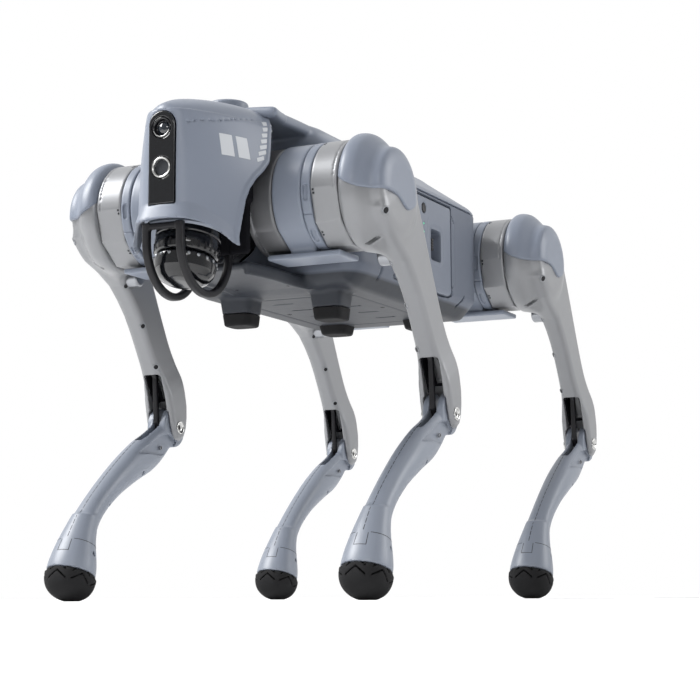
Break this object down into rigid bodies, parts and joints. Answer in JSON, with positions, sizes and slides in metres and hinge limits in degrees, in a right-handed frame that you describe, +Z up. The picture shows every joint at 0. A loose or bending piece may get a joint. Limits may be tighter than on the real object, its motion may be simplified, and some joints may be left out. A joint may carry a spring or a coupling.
{
  "type": "quadruped robot dog",
  "caption": "Standing four-legged walking robot with jointed hips, thighs and shins, a camera visor, a caged spinning ranging sensor and a slide-out battery.",
  "frame": {"origin": "on the ground below the middle of the trunk, halfway between the front and rear hip axes", "axes": "+X forward along the trunk, +Y to the robot's left, +Z up"},
  "size_m": [0.6506, 0.3304, 0.4328],
  "materials": {
    "shell": "satin blue-grey painted shell",
    "shell_dark": "matte dark blue-grey moulding",
    "silver": "bead-blasted satin",
    "calf": "satin pale blue-grey",
    "black": "matte",
    "gloss": "gloss black",
    "lens": "coated optical glass",
    "chrome": "bright",
    "steel": "machined",
    "motor": "dark anodised",
    "rubber": "moulded tread",
    "board": "solder mask"
  },
  "bodies": {
    "trunk": {"chassis_frame": "motor", "top_shell": "shell", "belly_shell": "shell_dark", "head_shell": "shell", "visor_panel": "gloss", "camera_lens": "lens", "headlight": "chrome", "lidar_body": "black", "lidar_guard": "black", "antenna_dome": "shell", "main_board": "board", "front_left_abduction_motor": "motor", "front_right_abduction_motor": "motor", "rear_left_abduction_motor": "motor", "rear_right_abduction_motor": "motor"},
    "lidar_head": {"lidar_rotor": "gloss"},
    "battery": {"battery_pack": "shell_dark"},
    "latch_front": {"battery_latch_front": "black"},
    "latch_rear": {"battery_latch_rear": "black"},
    "button": {"power_button": "black"},
    "front_left_hip": {"front_left_hip_housing": "shell", "front_left_thigh_motor": "shell"},
    "front_left_thigh": {"front_left_calf_motor": "silver", "front_left_thigh_arm": "silver", "front_left_shoulder_cap": "shell", "front_left_knee_axle": "chrome"},
    "front_left_crank": {"front_left_knee_crank": "steel"},
    "front_left_rod": {"front_left_knee_rod": "black"},
    "front_left_shin": {"front_left_calf": "calf", "front_left_foot": "rubber"},
    "front_right_hip": {"front_right_hip_housing": "shell", "front_right_thigh_motor": "shell"},
    "front_right_thigh": {"front_right_calf_motor": "silver", "front_right_thigh_arm": "silver", "front_right_shoulder_cap": "shell", "front_right_knee_axle": "chrome"},
    "front_right_crank": {"front_right_knee_crank": "steel"},
    "front_right_rod": {"front_right_knee_rod": "black"},
    "front_right_shin": {"front_right_calf": "calf", "front_right_foot": "rubber"},
    "rear_left_hip": {"rear_left_hip_housing": "shell", "rear_left_thigh_motor": "shell"},
    "rear_left_thigh": {"rear_left_calf_motor": "silver", "rear_left_thigh_arm": "silver", "rear_left_shoulder_cap": "shell", "rear_left_knee_axle": "chrome"},
    "rear_left_crank": {"rear_left_knee_crank": "steel"},
    "rear_left_rod": {"rear_left_knee_rod": "black"},
    "rear_left_shin": {"rear_left_calf": "calf", "rear_left_foot": "rubber"},
    "rear_right_hip": {"rear_right_hip_housing": "shell", "rear_right_thigh_motor": "shell"},
    "rear_right_thigh": {"rear_right_calf_motor": "silver", "rear_right_thigh_arm": "silver", "rear_right_shoulder_cap": "shell", "rear_right_knee_axle": "chrome"},
    "rear_right_crank": {"rear_right_knee_crank": "steel"},
    "rear_right_rod": {"rear_right_knee_rod": "black"},
    "rear_right_shin": {"rear_right_calf": "calf", "rear_right_foot": "rubber"}
  },
  "joints": [
    {"name": "lidar_spin", "type": "hinge", "parent": "trunk", "child": "lidar_head", "pos_m": [0.283, 0, 0.2962], "axis": [0.225, 0, -0.9744], "continuous": true},
    {"name": "battery_slide", "type": "slide", "parent": "trunk", "child": "battery", "axis": [0, -1, 0], "range_m": [-0.11, 0]},
    {"name": "latch_front_slide", "type": "slide", "parent": "battery", "child": "latch_front", "axis": [-1, 0, 0], "range_m": [0, 0.0045], "stiffness_N_per_m": 800, "springref_m": -0.001},
    {"name": "latch_rear_slide", "type": "slide", "parent": "battery", "child": "latch_rear", "axis": [1, 0, 0], "range_m": [0, 0.0045], "stiffness_N_per_m": 800, "springref_m": -0.001},
    {"name": "button_press", "type": "slide", "parent": "battery", "child": "button", "axis": [0, -1, 0], "range_m": [0, 0.0015], "stiffness_N_per_m": 1500, "springref_m": -0.0005},
    {"name": "front_left_abduction", "type": "hinge", "parent": "trunk", "child": "front_left_hip", "pos_m": [0.1934, 0.0465, 0.3432], "axis": [1, 0, 0], "range_deg": [-30, 48]},
    {"name": "front_left_hip_pitch", "type": "hinge", "parent": "front_left_hip", "child": "front_left_thigh", "pos_m": [0.1934, 0.142, 0.3432], "axis": [0, 1, 0], "range_deg": [-122, 52]},
    {"name": "front_left_knee", "type": "hinge", "parent": "front_left_thigh", "child": "front_left_shin", "pos_m": [0.07943, 0.142, 0.16326], "axis": [0, 1, 0], "range_deg": [-54, 32]},
    {"name": "front_left_crank_turn", "type": "hinge", "parent": "front_left_thigh", "child": "front_left_crank", "pos_m": [0.1934, 0.142, 0.3432], "axis": [0, 1, 0], "range_deg": [-54, 32]},
    {"name": "front_left_rod_turn", "type": "hinge", "parent": "front_left_crank", "child": "front_left_rod", "pos_m": [0.2011, 0.142, 0.33272], "axis": [0, 1, 0], "range_deg": [-32, 54]},
    {"name": "front_right_abduction", "type": "hinge", "parent": "trunk", "child": "front_right_hip", "pos_m": [0.1934, -0.0465, 0.3432], "axis": [1, 0, 0], "range_deg": [-48, 30]},
    {"name": "front_right_hip_pitch", "type": "hinge", "parent": "front_right_hip", "child": "front_right_thigh", "pos_m": [0.1934, -0.142, 0.3432], "axis": [0, 1, 0], "range_deg": [-122, 52]},
    {"name": "front_right_knee", "type": "hinge", "parent": "front_right_thigh", "child": "front_right_shin", "pos_m": [0.07943, -0.142, 0.16326], "axis": [0, 1, 0], "range_deg": [-54, 32]},
    {"name": "front_right_crank_turn", "type": "hinge", "parent": "front_right_thigh", "child": "front_right_crank", "pos_m": [0.1934, -0.142, 0.3432], "axis": [0, 1, 0], "range_deg": [-54, 32]},
    {"name": "front_right_rod_turn", "type": "hinge", "parent": "front_right_crank", "child": "front_right_rod", "pos_m": [0.2011, -0.142, 0.33272], "axis": [0, 1, 0], "range_deg": [-32, 54]},
    {"name": "rear_left_abduction", "type": "hinge", "parent": "trunk", "child": "rear_left_hip", "pos_m": [-0.1934, 0.0465, 0.3432], "axis": [1, 0, 0], "range_deg": [-30, 48]},
    {"name": "rear_left_hip_pitch", "type": "hinge", "parent": "rear_left_hip", "child": "rear_left_thigh", "pos_m": [-0.1934, 0.142, 0.3432], "axis": [0, 1, 0], "range_deg": [-36, 214]},
    {"name": "rear_left_knee", "type": "hinge", "parent": "rear_left_thigh", "child": "rear_left_shin", "pos_m": [-0.30737, 0.142, 0.16326], "axis": [0, 1, 0], "range_deg": [-54, 32]},
    {"name": "rear_left_crank_turn", "type": "hinge", "parent": "rear_left_thigh", "child": "rear_left_crank", "pos_m": [-0.1934, 0.142, 0.3432], "axis": [0, 1, 0], "range_deg": [-54, 32]},
    {"name": "rear_left_rod_turn", "type": "hinge", "parent": "rear_left_crank", "child": "rear_left_rod", "pos_m": [-0.1857, 0.142, 0.33272], "axis": [0, 1, 0], "range_deg": [-32, 54]},
    {"name": "rear_right_abduction", "type": "hinge", "parent": "trunk", "child": "rear_right_hip", "pos_m": [-0.1934, -0.0465, 0.3432], "axis": [1, 0, 0], "range_deg": [-48, 30]},
    {"name": "rear_right_hip_pitch", "type": "hinge", "parent": "rear_right_hip", "child": "rear_right_thigh", "pos_m": [-0.1934, -0.142, 0.3432], "axis": [0, 1, 0], "range_deg": [-36, 214]},
    {"name": "rear_right_knee", "type": "hinge", "parent": "rear_right_thigh", "child": "rear_right_shin", "pos_m": [-0.30737, -0.142, 0.16326], "axis": [0, 1, 0], "range_deg": [-54, 32]},
    {"name": "rear_right_crank_turn", "type": "hinge", "parent": "rear_right_thigh", "child": "rear_right_crank", "pos_m": [-0.1934, -0.142, 0.3432], "axis": [0, 1, 0], "range_deg": [-54, 32]},
    {"name": "rear_right_rod_turn", "type": "hinge", "parent": "rear_right_crank", "child": "rear_right_rod", "pos_m": [-0.1857, -0.142, 0.33272], "axis": [0, 1, 0], "range_deg": [-32, 54]}
  ],
  "couplings": [
    {"joint": "front_left_crank_turn", "follows": "front_left_knee", "ratio": 1},
    {"joint": "front_left_rod_turn", "follows": "front_left_knee", "ratio": -1},
    {"joint": "front_right_crank_turn", "follows": "front_right_knee", "ratio": 1},
    {"joint": "front_right_rod_turn", "follows": "front_right_knee", "ratio": -1},
    {"joint": "rear_left_crank_turn", "follows": "rear_left_knee", "ratio": 1},
    {"joint": "rear_left_rod_turn", "follows": "rear_left_knee", "ratio": -1},
    {"joint": "rear_right_crank_turn", "follows": "rear_right_knee", "ratio": 1},
    {"joint": "rear_right_rod_turn", "follows": "rear_right_knee", "ratio": -1}
  ]
}
